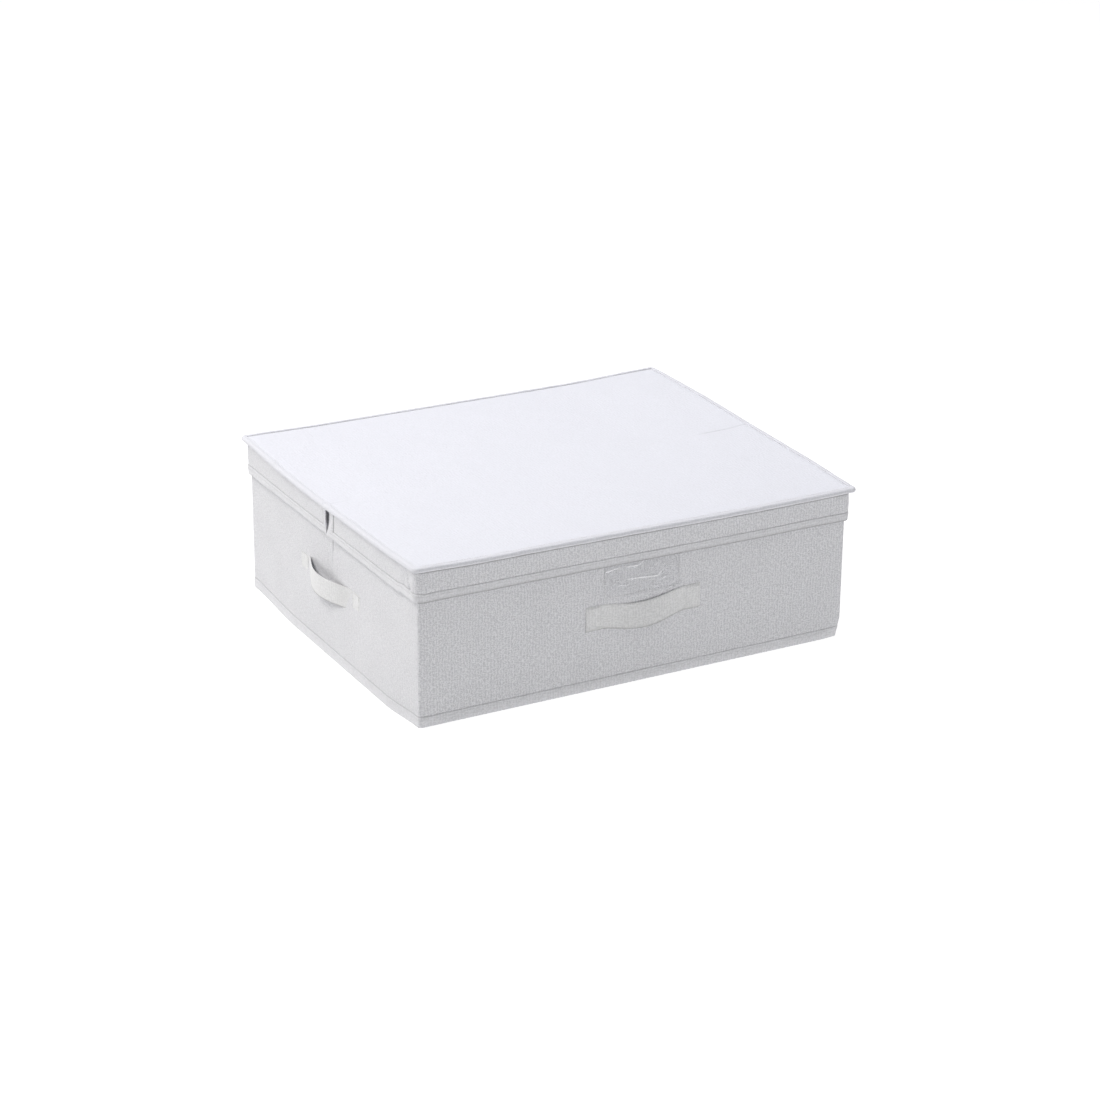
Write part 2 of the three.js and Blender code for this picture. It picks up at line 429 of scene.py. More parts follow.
def cloth(name, light, dark, coarse=1.0, relief=1.0):
    """A linen-look cloth: a plain weave of uneven threads, with slubs and a faint mottle, darkened by painted
    shade where its mesh marks it, and with its weave painted at more contrast where it faces the front, in
    place of grazing light on its relief.
    """
    n = Nodes(name)
    mm = n.millimetres(wrapped=True)
    upright = n.noise(n.mapped(mm, (0.46 / coarse, 0.12 / coarse, 1)), 1.0, 1.0, 0.5)
    level = n.noise(n.mapped(mm, (0.12 / coarse, 0.52 / coarse, 1)), 1.0, 1.0, 0.5)
    grain = n.noise(mm, 0.40 / coarse, 0.5, 0.5)
    mottle = n.noise(mm, 0.02, 3.0)
    slubs = n.plus(n.times(upright, 0.32), n.times(level, 0.36))
    slubs = n.plus(slubs, n.times(grain, 0.42))
    across = n.split(mm)["X"]
    sway = n.times(n.noise(mm, 0.05, 1.0), 9.0)
    ribs = n.math("SINE", n.plus(n.times(across, 1.6), sway))
    slubs = n.plus(slubs, n.times(ribs, 0.03))
    # Painted light: the weave's tone contrast is raised on surfaces that face the front, standing in for
    # grazing light across its relief there.
    facing = n.split(n.add("ShaderNodeTexCoord").outputs["Normal"])
    front = n.times(facing["Y"], -1.0, clamp=True)
    reach = n.plus(n.times(front, 4.2), 2.2)
    tone = n.plus(n.times(n.math("SUBTRACT", slubs, 0.55), reach), 0.5)
    tone = n.plus(tone, n.times(n.math("SUBTRACT", mottle, 0.5), 0.3))
    # Painted shade: the mark attribute darkens the cloth towards a dark shade colour in seams, grooves and
    # creases, and under the rim, the hem and the straps.
    painted_light = n.add("ShaderNodeAttribute", attribute_name="painted_light").outputs["Fac"]
    colour = n.ramp(tone, [(0.05, dark), (0.95, light)])
    shade_colour = (dark[0] * 0.45, dark[1] * 0.44, dark[2] * 0.44)
    n.set("Base Color", n.mixed(painted_light, colour, shade_colour))
    n.set("Roughness", n.plus(n.times(grain, 0.2), 0.74))
    n.set("Normal", n.bump(slubs, 1.0, 0.0013 * relief))
    n.set("Sheen Weight", 0.12)
    n.set("Sheen Roughness", 0.45)
    n.set("Specular IOR Level", 0.25)
    return n.material


def felt(name, light, dark):
    """Thin non-woven lining: embossed dots over loose fibres."""
    n = Nodes(name)
    mm = n.millimetres(wrapped=True)
    diagonal = n.split(n.mapped(mm, (1, 1, 1), math.pi / 4))
    k = 2 * math.pi / 2.4
    a = n.math("SINE", n.times(diagonal["X"], k))
    b = n.math("SINE", n.times(diagonal["Y"], k))
    dots = n.math("GREATER_THAN", n.times(a, b), 0.45)
    fibres = n.noise(n.mapped(mm, (0.5, 1.3, 1)), 1.0, 5.0, 0.7)
    cloud = n.noise(mm, 0.03, 3.0)
    tone = n.plus(n.times(fibres, 0.7), n.times(cloud, 0.4))
    n.set("Base Color", n.ramp(tone, [(0.3, dark), (0.75, light)]))
    height = n.math("SUBTRACT", n.times(fibres, 0.4), n.times(dots, 0.3))
    n.set("Normal", n.bump(height, 0.5, 0.0005))
    n.set("Roughness", n.plus(n.times(fibres, 0.15), 0.78))
    n.set("Specular IOR Level", 0.3)
    return n.material


def board_material(name):
    """Raw grey board with pressed fibres and flecks."""
    n = Nodes(name)
    mm = n.millimetres(wrapped=False)
    fibres = n.noise(n.mapped(mm, (0.3, 0.3, 1.4)), 1.0, 5.0, 0.65)
    flecks = n.noise(mm, 1.1, 2.0, 0.5)
    tone = n.plus(n.times(fibres, 0.7), n.times(flecks, 0.4))
    shades = [(0.3, (0.24, 0.215, 0.185)), (0.75, (0.40, 0.37, 0.33))]
    n.set("Base Color", n.ramp(tone, shades))
    n.set("Normal", n.bump(fibres, 0.4, 0.0004))
    n.set("Roughness", n.plus(n.times(flecks, 0.2), 0.75))
    return n.material


def thread_material(name):
    """Twisted sewing thread."""
    n = Nodes(name)
    mm = n.millimetres(wrapped=False)
    twist = n.noise(mm, 3.0, 2.0)
    shades = [(0.3, (0.62, 0.62, 0.62)), (0.7, (0.82, 0.82, 0.83))]
    n.set("Base Color", n.ramp(twist, shades))
    n.set("Normal", n.bump(twist, 0.4, 0.0002))
    n.set("Roughness", 0.55)
    n.set("Sheen Weight", 0.2)
    return n.material


def film_material(name):
    """Soft clear film with a faint haze, and painted highlights along its creases: whiter, more opaque and
    glowing.
    """
    n = Nodes(name)
    mm = n.millimetres(wrapped=False)
    crinkle = n.noise(n.mapped(mm, (0.06, 0.1, 0.16), 0.3), 1.0, 3.0, 0.55)
    haze = n.noise(mm, 0.12, 4.0, 0.6)
    # Painted highlight: the mark attribute makes the creases white, opaque and glowing, in place of the light
    # glinting off them.
    crease = n.add("ShaderNodeAttribute", attribute_name="painted_light").outputs["Fac"]
    clear = n.ramp(haze, [(0.35, (0.62, 0.625, 0.65)), (0.65, (0.76, 0.765, 0.80))])
    n.set("Base Color", n.mixed(crease, clear, (0.95, 0.955, 0.96)))
    n.set("Roughness", n.plus(n.times(haze, 0.1), 0.08))
    n.set("Normal", n.bump(crinkle, 0.6, 0.002))
    veil = n.plus(n.times(haze, 0.06), 0.03)
    n.set("Alpha", n.plus(veil, n.times(crease, 0.6), clamp=True))
    n.set("Emission Color", (1.0, 1.0, 1.0, 1))
    n.set("Emission Strength", n.times(crease, 0.3))
    n.set("IOR", 1.53)
    n.set("Specular IOR Level", 0.8)
    n.material.surface_render_method = "BLENDED"
    return n.material


def floor_material():
    n = Nodes("stage_floor")
    where = n.add("ShaderNodeTexCoord").outputs["Object"]
    tone = n.noise(where, 2.0, 2.0)
    shades = [(0.3, (0.30, 0.30, 0.302)), (0.7, (0.31, 0.31, 0.312))]
    n.set("Base Color", n.ramp(tone, shades))
    n.set("Emission Color", (1.0, 1.0, 1.0, 1))
    n.set("Emission Strength", 0.9)
    n.set("Roughness", 0.95)
    n.set("Specular IOR Level", 0.0)
    return n.material


LINEN = cloth("linen_cloth", (0.85, 0.85, 0.872), (0.63, 0.63, 0.655), coarse=0.56)
LID_LINEN = cloth("lid_linen_cloth", (0.828, 0.830, 0.882), (0.772, 0.774, 0.819), relief=0.6)
TAPE = cloth("binding_tape", (0.82, 0.82, 0.845), (0.70, 0.70, 0.722), coarse=0.85, relief=0.9)
STRAP = cloth("strap_cloth", (0.85, 0.85, 0.853), (0.725, 0.725, 0.728), coarse=0.75, relief=0.6)
LINING = felt("lining", (0.80, 0.80, 0.80), (0.72, 0.72, 0.72))
RIM_TAPE = cloth("rim_binding_tape", (0.79, 0.79, 0.83), (0.72, 0.72, 0.755), coarse=0.7, relief=0.6)
BOARD = board_material("grey_board")
THREAD = thread_material("sewing_thread")
FILM = film_material("clear_film")


# ---- Walls ----

WALLS = Ring(BOX_X, BOX_Y, 3.5)
CREASE_Y = -4.0  # where the short walls bend
FOOT_SPLAY = 6.6  # how far the left wall's foot stands out, away from the corners
RUN_END = 117.0  # the runs of a short wall's cloth meet this far from its middle


def crease_dent(y, z, low, top, rear, front):
    """How far a short wall is pushed in at its crease, most of all under the lid."""
    depth = low * smooth((z - 25) / 130) + top * smooth((z - 158) / 30)
    reach = np.clip((z - 20) / 130, 0.25, 1)
    rear_side = 1 - (y - CREASE_Y) / (6 + rear * reach)
    front_side = 1 + (y - CREASE_Y) / (4 + front * reach)
    flank = np.clip(np.minimum(rear_side, front_side), 0, 1)
    soft = flank - 0.09 * np.sin(2 * math.pi * flank)
    fold = 0.8 * hill(y, CREASE_Y, 1.5) * smooth((z - 90) / 60)
    swell = 1.1 * hill(y, CREASE_Y - 30 + 0.15 * (150 - z), 13) * smooth((z - 60) / 70)
    return depth * soft + fold + swell


def wall_warp(p, n, s):
    """Slack in the walls: the short walls' creases pushed in, and uneven boards."""
    p = p.copy()
    x, y, z = p[..., 0], p[..., 1], p[..., 2]
    left = n[..., 0] < -0.95
    right = n[..., 0] > 0.95
    free = smooth(z / 30) * smooth((BOX_Y - 12 - np.abs(y)) / 60)
    p[..., 0] += np.where(left, crease_dent(y, z, 2.8, 8.0, 24, 15) - 0.5 * free * ripple(y, z, 160, 3), 0)
    p[..., 0] -= np.where(right, crease_dent(y, z, 2.2, 6.0, 22, 18) - 0.5 * free * ripple(y, z, 170, 5), 0)
    flat = smooth(z / 30) * smooth((BOX_X - 12 - np.abs(x)) / 60)
    front = n[..., 1] < -0.95
    back = n[..., 1] > 0.95
    p[..., 1] -= np.where(front, 0.55 * flat * ripple(x, z, 190, 1), 0)
    p[..., 1] += np.where(back, 0.55 * flat * ripple(x, z, 180, 2), 0)
    splay = FOOT_SPLAY * smooth((y + BOX_Y) / 75) * smooth((BOX_Y - y) / 150)
    p[..., 0] -= splay * smooth((140 - z) / 140) * smooth((-x - 215) / 80)
    tuck = smooth((26 - z) / 26) * hill(np.hypot(x - BOX_X, y + BOX_Y), 0, 16)  # a worn foot at one corner
    p[..., 0] -= 4.2 * tuck
    p[..., 1] += 2.2 * tuck
    return p


CREASES = (WALLS.left(CREASE_Y), WALLS.right(CREASE_Y))
WALL_MARKS = [(place, reach, size) for place in CREASES for reach, size in ((34, 2.2), (6, 0.7))]
LEFT_REAR_END, LEFT_FRONT_END = WALLS.left(RUN_END), WALLS.left(-RUN_END)
RIGHT_REAR_END = WALLS.right(RUN_END)
FRONT_JOIN = WALLS.front(-240)
OPEN_CORNER = WALLS.ends[6]  # where the front wall's cloth ends and the right wall's starts
# name, from, to, body before, body after, and where the bend starts and ends
WALL_RUNS = [
    ("back_left", 0.0, LEFT_REAR_END, "box", "left_rear_wall", (-284, 240), (-290, 234)),
    ("left", LEFT_REAR_END, LEFT_FRONT_END, "left_rear_wall", "left_front_wall", (-291, 4), (-291, -4)),
    ("front_left", LEFT_FRONT_END, FRONT_JOIN, "left_front_wall", "front_wall", (-290, -234), (-284, -240)),
    ("front_right", FRONT_JOIN, OPEN_CORNER, "front_wall", None, None, None),
    ("right", OPEN_CORNER, RIGHT_REAR_END, "right_front_wall", "right_rear_wall", (291, -4), (291, 4)),
    ("back_right", RIGHT_REAR_END, WALLS.length, "right_rear_wall", "box", (290, 234), (284, 240)),
]
SECTIONS = ("left_rear", "left_front", "front", "right_front", "right_rear")
CAD_PARTS = {"box": "back", **{f"{section}_wall": section for section in SECTIONS}}


def fasten(obj, run):
    """Lets a piece of wall ride its body; a piece that lies across two bodies only has its place baked into
    its mesh.
    """
    _, _, _, first, second, start, end = run
    if second is None:
        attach(obj, first)
        return
    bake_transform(obj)


def crease_shade(x, y, nx, ny, z):
    """Painted shade along the sharp part of the left wall's crease, under the lid."""
    mark = 0.5 * hill(y, CREASE_Y + 1.6, 1.0) * smooth((z - 124) / 22) * smooth((172 - z) / 8)
    return np.where(nx < -0.95, mark, 0)


def shade_at_foot(x, y, nx, ny, z):
    """How strong the painted shade at the base tape's edge is: more on the left than along the front."""
    return np.where((nx < -0.7) & (z < 20), 1.9, 1.0)


def wall_loops():
    """The cross-sections of a wall's layers: (outward, up, painted shade)."""
    up = steps(16.0, 181.0, 9)
    # The third numbers paint shade into the grooves above the base tape and under the top hem, and on the
    # tape's top edge.
    face = [(0.0, 1.0), (0.0, 13.2), (-0.05, 13.7, 0.16), (-0.15, 14.2, 0.14), (0.0, 14.7)]
    face += [(0.0, z) for z in up] + [(-0.1, 182.2, 0.4), (0.0, 193.4)]
    cloth_loop = face + [(-0.85, q[1]) for q in reversed(face)]
    inner = [(-3.6, 1.1), (-3.6, 60), (-3.6, 120), (-3.6, 193.4)]
    inner += [(-4.0, 193.4)] + [(-4.0, z) for z in reversed(up)] + [(-4.0, 1.1)]
    hem = [(0.15, 182.5), (0.55, 182.9), (0.62, 184.2), (0.62, 192.9), (0.35, 194.1), (-0.5, 194.5)]
    hem += [(-3.5, 194.5), (-4.35, 194.1), (-4.6, 192.9), (-4.6, 184.2), (-4.5, 182.9), (-4.15, 182.5)]
    hem += [(-3.7, 182.9), (-3.7, 193.6), (-0.3, 193.6), (-0.3, 182.9)]
    base = [(-4.0, 0.0), (-0.2, 0.0), (0.35, 0.25), (0.62, 1.0), (0.68, 6.0), (0.62, 12.2)]
    base += [(0.5, 13.2), (0.1, 13.6, 0.2), (-0.3, 13.3), (-0.3, 0.9), (-4.0, 0.9)]
    return {"cloth": cloth_loop, "lining": inner, "top_hem": hem, "base_tape": base}


def build_walls():
    materials = {
        "cloth": (LINEN, "linen_cloth"),
        "lining": (LINING, "lining"),
        "top_hem": (TAPE, "binding_tape"),
        "base_tape": (TAPE, "binding_tape"),
    }
    seams = {"top_hem": 184.6, "base_tape": 10.0}  # the heights of the stitches
    for run in WALL_RUNS:
        name, a, b, first, second = run[:5]
        stations = WALLS.stations(a, b, 8.0, WALL_MARKS)
        for layer, loop in wall_loops().items():
            build = Build()
            line = crease_shade if layer == "cloth" else None
            sweep(build, WALLS, stations, loop, wall_warp, line=line, fade=shade_at_foot)
            if layer in seams:
                stitch_line(build, WALLS, a, b, 0.64, seams[layer], wall_warp)
            material, slot = materials[layer]
            obj = build.make(f"{name}_wall_{layer}", [material, THREAD])
            fasten(obj, run)
            bodies = [first] + ([second] if second else [])
            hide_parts(*[f"{CAD_PARTS[body]}_{layer}" for body in bodies])


def build_boards():
    """The grey board in each wall."""
    x, y = BOX_X - 2, BOX_Y - 7
    spans = [
        ("left_rear", WALLS.left(y), WALLS.left(5.5), "left_rear_wall"),
        ("left_front", WALLS.left(-5.5), WALLS.left(-y), "left_front_wall"),
        ("front", WALLS.front(-x + 4), WALLS.front(x - 4), "front_wall"),
        ("right_front", WALLS.right(-y), WALLS.right(-5.5), "right_front_wall"),
        ("right_rear", WALLS.right(5.5), WALLS.right(y), "right_rear_wall"),
        ("back", 4 - x, x - 4, "box"),
    ]
    heights = steps(1.2, 193.2, 16)
    loop = [(-1.0, z) for z in heights] + [(-3.4, z) for z in reversed(heights)]
    for name, a, b, body in spans:
        build = Build()
        sweep(build, WALLS, WALLS.stations(a, b, 12.0, WALL_MARKS), loop, wall_warp)
        obj = build.make(f"{name}_wall_board", [BOARD])
        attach(obj, body)
        if name.startswith("left"):  # the left boards get a mesh of their own
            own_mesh(obj)
        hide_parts(f"{name}_board")


# ---- Lid ----

RIM = Ring(LID_X, LID_Y, 8.0)
SKIRT = Ring(LID_X, LID_Y, 16.0)
LEFT_SLIT = (-11.0, 2.0)  # y of the front flap's edge and of the rear flap's, on the left
RIGHT_SLIT = (-5.5, 6.5)


def lid_crease(x, y):
    """The line pressed into the lid's cloth: crisp at the right, fading to the left."""
    crisp = 0.12 + 0.88 * smooth((x - 215) / 15) + 0.3 * smooth((-x - 235) / 40)
    broken = 0.75 + 0.25 * np.sin(x / 3.7) * np.sin(x / 6.1 + 1)
    line = -4.5 + 4.5 * smooth((x - 262) / 28) + 0.4 * np.sin(x / 17.0)
    return crisp * broken * hill(y, line, 1.3)


def lid_height(x, y):
    """How far the lid's cloth lies above its flat plane."""
    edge = smooth((LID_X - 12 - np.abs(x)) / 45) * smooth((LID_Y - 12 - np.abs(y)) / 45)
    h = 0.55 * edge * ripple(x, y, 230, 7)
    h += 0.25 * edge * ripple(x, y, 90, 4)
    slack = smooth((120 - np.abs(y)) / 110) * smooth((80 - x) / 260)
    h += 0.8 * edge * slack * np.sin((y + 0.12 * x + 14 * np.sin(x / 95.0)) / 17.0)
    h += 0.6 * edge * slack * hill(y - 0.25 * (x + 150), 18, 9)
    h -= 0.5 * lid_crease(x, y)
    h += 0.3 * edge * (hill(y, 3, 6) + hill(y, -12, 7)) * smooth((x - 120) / 120)
    return h


def lid_set(x, y):
    """How the lid lies off true: out and up.

    Its front and left edges droop, its right edge swells, and its left corners curl up.
    """
    front = (0.6 - 4.0 * smooth((x + 200) / 400)) * smooth((-y - 130) / 120)
    left = (2.0 * smooth((y - 100) / 130) - 2.4 * hill(y, 40, 130)) * smooth((-x - 180) / 120)
    back = 2.2 * smooth((LID_X - x) / (2 * LID_X)) * smooth((y - 130) / 120)
    right = (0.5 + 3.6 * hill(y, 160, 170)) * smooth((x - 150) / 150)
    out = (0.5 + 3.0 * smooth((y + LID_Y) / 400)) * smooth((x - 200) / 90)
    curl = 2.6 * hill(np.hypot(x + LID_X, y + LID_Y), 0, 55)  # the near left corner
    return out, front + left + back + right + curl


def rim_warp(p, n, s):
    """Unevenness in the bound rim, and a nick where the crease runs through it."""
    p = p.copy()
    x, y = p[..., 0], p[..., 1]
    nick = hill(y, 0.0, 1.6) * (np.abs(n[..., 0]) > 0.9)
    out, up = lid_set(x, y)
    p[..., 2] += 0.25 * ripple(s, 0 * s, 60, 3) - 0.9 * nick + up
    p[..., 0] += out - n[..., 0] * (0.5 * nick - 0.2 * ripple(s, 0 * s, 75, 6))
    p[..., 1] -= n[..., 1] * (-0.2 * ripple(s, 0 * s, 75, 6))
    return p


def shade_in_groove(x, y, nx, ny, z):
    """How strong the painted shade beside the rim is: most at the back and right, where the rim is highest.
    """
    side = np.where(nx > 0.7, 0.45, 0.2)
    return np.where(ny < -0.7, 0.1, np.where(ny > 0.7, 0.35, side)) + 0 * z


def build_lid_top():
    """The bound rim, and the cloth, lining and boards of the lid's two leaves."""
    sides = (RIM.left(0), RIM.right(0))
    crease = [(place, reach, size) for place in sides for reach, size in ((14, 1.5), (5, 0.6))]
    around = RIM.stations(0.0, RIM.length, 7.0, crease)[:-1]
    loop = [(-6.2, 194.7), (-1.9, 194.7), (-1.3, 194.9), (-0.7, 195.5), (-0.35, 196.4), (-0.4, 197.6)]
    loop += [(-0.75, 198.7), (-1.4, 199.6), (-2.4, 200.15), (-3.8, 200.4), (-5.6, 200.4), (-6.7, 200.3)]
    # The last points paint shade onto the rim's inner side, in the groove beside the lid's cloth.
    loop += [(-7.1, 200.05, 0.15), (-7.25, 199.6, 0.55), (-7.25, 199.0, 0.6), (-7.0, 198.2), (-6.2, 198.0)]
    build = Build()
    sweep(build, RIM, around, loop, rim_warp, closed=True, fade=shade_in_groove)
    rim = build.make("lid_rim", [RIM_TAPE, THREAD])
    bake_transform(rim)
    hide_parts("lid_rear_rim", "lid_front_rim")

    ex, ey = LID_X - 7.3, LID_Y - 7.3
    margin = np.array([6, 3.5, 2.4, 1.5, 0.8, 0])  # rows close together beside the rim
    near = np.concatenate([steps(0, 4, 0.5)[1:], steps(4, 16, 1.5)[1:]])
    half = np.concatenate([near, steps(16, ey - 10, 5.5)[1:], ey - margin])
    ys = np.concatenate([-half[::-1], [0.0], half])
    half = np.concatenate([steps(0, ex - 10, 7)[1:], ex - margin])
    xs = np.concatenate([-half[::-1], [0.0], half])
    gx, gy = np.meshgrid(xs, ys, indexing="ij")
    from_edge = np.minimum(ex - np.abs(gx), ey - np.abs(gy))
    dip = smooth(1 - from_edge / 3.2)
    shift, up = lid_set(gx, gy)
    z = 199.7 + lid_height(gx, gy) - 0.4 * dip + up
    # Painted shade along the crease pressed into the lid's cloth.
    mark = 0.6 * np.clip(lid_crease(gx, gy) - 0.15, 0, 1)
    build = Build()
    corner = 3.0  # the panel's corners are rounded to follow the rim
    cx, cy = ex - corner, ey - corner
    over_x, over_y = np.clip(np.abs(gx) - cx, 0, None), np.clip(np.abs(gy) - cy, 0, None)
    out = np.hypot(over_x, over_y)
    pull = np.where(out > corner, corner / np.maximum(out, 1e-6), 1.0)
    px = np.where(out > corner, np.sign(gx) * (cx + over_x * pull), gx) + shift
    py = np.where(out > corner, np.sign(gy) * (cy + over_y * pull), gy)
    build.slab(np.stack([px, py, z], -1), np.stack([px, py, z - 0.9], -1), gx, gy, mark)
    lane = 8.8
    line = Ring(LID_X - lane, LID_Y - lane, 4.0)
    count = int(line.length / 3.3)
    s = (np.arange(count) + 0.5) * line.length / count
    c, _ = swept_points(line, s, 0, 0)
    shift, up = lid_set(c[:, 0], c[:, 1])
    c[:, 2] = 199.6 + lid_height(c[:, 0], c[:, 1]) + up
    c[:, 0] += shift
    t = swept_points(line, s + 0.8, 0, 0)[0] - swept_points(line, s - 0.8, 0, 0)[0]
    t[:, 2] = 0
    t /= np.linalg.norm(t, axis=1)[:, None]
    build.thread(c, t, rows((0, 0, 1), count), radius=0.28)
    top = build.make("lid_cloth", [LID_LINEN, THREAD])
    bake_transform(top)
    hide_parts("lid_rear_cloth", "lid_front_cloth")

    build = Build()
    lx, ly = LID_X - 6.2, LID_Y - 6.2
    half = np.concatenate([near, steps(16, ly, 12)[1:]])
    ys = np.concatenate([-half[::-1], [0.0], half])
    gx, gy = np.meshgrid(steps(-lx, lx, 14), ys, indexing="ij")
    shift, up = lid_set(gx, gy)
    sag = 0.12 * ripple(gx, gy, 120, 9) + 0.35 * hill(gy, 0, 2.0) + up
    under_side, upper_side = (np.stack([gx + shift, gy, z + sag], -1) for z in (195.15, 195.5))
    build.slab(under_side, upper_side, gx, gy, flip=True)
    under = build.make("lid_lining", [LINING])
    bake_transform(under)
    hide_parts("lid_rear_lining", "lid_front_lining")

    for leaf, start, end in (("lid_rear", 5.5, ly - 1), ("lid_front", 1 - ly, -5.5)):
        gx, gy = np.meshgrid(steps(1 - lx, lx - 1, 20), steps(start, end, 15), indexing="ij")
        shift, up = lid_set(gx, gy)
        sag = 0.3 * lid_height(gx, gy) + up
        build = Build()
        under_side, upper_side = (np.stack([gx + shift, gy, z + sag], -1) for z in (196.2, 197.9))
        build.slab(under_side, upper_side, gx, gy, flip=True)
        board = build.make(f"{leaf}_stiffener", [BOARD])
        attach(board, leaf)
        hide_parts(f"{leaf}_board")


def flap_lean(y, z):
    """How far the left front flap's upright edge leans to the rear, most at the hem."""
    down = np.clip((187 - z) / 30, 0, 1)
    return 10.0 * down**2 * hill(y, LEFT_SLIT[0], 15)


def skirt_warp(p, n, s):
    """How the skirt hangs: close to the wall, fuller at the corners, loose at the slits."""
    p = p.copy()
    x, y, z = p[..., 0], p[..., 1], p[..., 2]
    down = np.clip((193.5 - z) / 37, 0, 1)
    corner = hill(np.hypot(np.abs(x) - LID_X, np.abs(y) - LID_Y), 0, 24)
    outward = -(0.3 + 0.9 * (n[..., 0] < -0.9)) * smooth(down) * (1 - corner)
    outward += 0.9 * corner * np.sin(math.pi * down**0.8)
    outward += 0.4 * down * ripple(s, z * 0.6, 120, 2) + 0.2 * ripple(s, z, 45, 5)
    left = n[..., 0] < -0.9
    right = n[..., 0] > 0.9
    pinch = hill(y, -224 + 0.35 * (z - 172), 3.0) + 0.5 * hill(y, -212 - 0.3 * (z - 176), 6.0)
    outward -= np.where(left, 3.0 * pinch * smooth((z - 160) / 10) * smooth((196 - z) / 14), 0)
    outward -= np.where(right, 0.7 * hill(y, 226, 4) * smooth((z - 160) / 12), 0)
    front_flap = left & (y < (LEFT_SLIT[0] + LEFT_SLIT[1]) / 2)
    rear_flap = left & ~front_flap
    outward += np.where(front_flap, 1.4 * smooth(down) * hill(y, LEFT_SLIT[0], 13), 0)
    outward -= np.where(rear_flap, 0.7 * smooth(down) * hill(y, LEFT_SLIT[1], 16), 0)
    outward += np.where(right, 0.8 * down * hill(y, 0, 15), 0)
    p[..., 0] += n[..., 0] * outward
    rear_lean = 2.2 * smooth((190 - z) / 18) * hill(y, LEFT_SLIT[1], 8)
    lean = np.where(front_flap, flap_lean(y, z), np.where(rear_flap, rear_lean, 0))
    p[..., 1] += n[..., 1] * outward + lean
    out, up = lid_set(x, y)
    ease = (1.6 - 2.8 * smooth((x + LID_X) / 500)) * smooth((-y - 130) / 120)
    ease = np.where(left & (y > -200), -0.4 - 0.5 * smooth(-y / 100), ease)
    sag = 0.3 * ripple(s, 0 * s, 210, 8) + 0.6 * corner
    p[..., 0] += out * (1 - 0.6 * down)
    p[..., 2] += up * (1 - down) + ease * down - sag * smooth(down)
    return p


def shade_on_skirt(x, y, nx, ny, z):
    """How strong the painted shade on the skirt is: under the rim and at the fold of the hem it is darkest
    along the front, and just above the hem it is strongest on the sides.
    """
    front = ny < -0.7
    rim = np.where(front, 1.0, 0.5 + 0.4 * smooth((-y + 40) / 200))
    fold = np.where(front, 1.0, 0.15)
    return np.where(z > 185, rim, np.where(z < 160, fold, np.where(front, 1.0, 2.0)))


def skirt_layers():
    """The cross-sections of the skirt's cloth and of its hem: (outward, up, painted shade)."""
    up = steps(170.5, 189.5, 4)
    # Painted shade in the groove above the hem, and in a line under the rim, where the rim's shadow falls.
    face = [(-5.4, 157.6), (-5.4, 166.7), (-5.45, 167.3, 0.2), (-5.6, 167.9, 0.2), (-5.42, 168.5)]
    face += [(-5.4, z) for z in up] + [(-5.4, 191.2, 0.15), (-5.5, 192.5, 0.85), (-5.5, 194.9, 1.0)]
    cloth_loop = list(face) + [(-6.3, q[1]) for q in reversed(face)]
    # Painted shade along the hem's lower fold, for the shadow under the hem, and in the groove of its stitch
    # line.
    hem = [(-5.4, 156.5, 0.9), (-4.95, 156.8, 0.9), (-4.8, 157.4, 0.8), (-4.75, 158.4, 0.25), (-4.75, 161.5)]
    hem += [(-4.8, 163.4), (-4.85, 163.8, 0.2), (-4.8, 164.2), (-4.8, 166.2), (-4.95, 166.9)]
    hem += [(-5.4, 167.3, 0.2), (-6.3, 167.3), (-6.75, 166.9), (-6.9, 166.0), (-6.9, 158.0)]
    hem += [(-6.75, 157.0), (-6.3, 156.5)]
    return cloth_loop, hem


def bound_edge(build, s_edge, inward, width, warp):
    """Tape folded round a slit's upright edge. inward is +1 or -1, the way the flap lies."""
    across = [-0.5, 0.0, 0.8, width * 0.5, width - 0.9, width, width + 0.7, width + 1.3]
    outer = [-5.25, -4.92, -4.8, -4.75, -4.8, -4.95, -5.22, -5.34]
    # Painted shade in the groove where the tape's edge meets the flap.
    marks = [0, 0, 0, 0, 0, 0.45, 0.95, 0.5]
    inner = [-6.4, -6.75, -6.9, -6.9, -6.9, -6.9, -6.75, -6.45]
    zs = steps(167.1, 194.8, 3)
    loop_s = [s_edge + inward * q for q in across] + [s_edge + inward * q for q in reversed(across)]
    loop_d = outer + inner[::-1]
    m, n = len(loop_s), len(zs)
    zz = np.repeat(zs[:, None], m, 1)
    p, _ = swept_points(SKIRT, rows(loop_s, n), rows(loop_d, n), zz, warp)
    length = np.cumsum(np.hypot(np.diff(loop_s), np.diff(loop_d)))
    painted_light = rows(marks + [0] * len(inner), n)
    base = build.grid(p, zz, rows([0.0, *length], n), painted_light, closed_v=True, flip=inward < 0)
    order = range(m)[::inward]
    build.cap([base + j for j in order])
    build.cap([base + (n - 1) * m + j for j in order[::-1]])
    seam_at = s_edge + inward * (width - 2.0)
    line, _ = swept_points(SKIRT, seam_at, -4.7, np.linspace(168, 193.5, 12), warp)
    out = swept_points(SKIRT, np.array([seam_at]), 0, 0)[1][0]
    stitch_path(build, line, out)


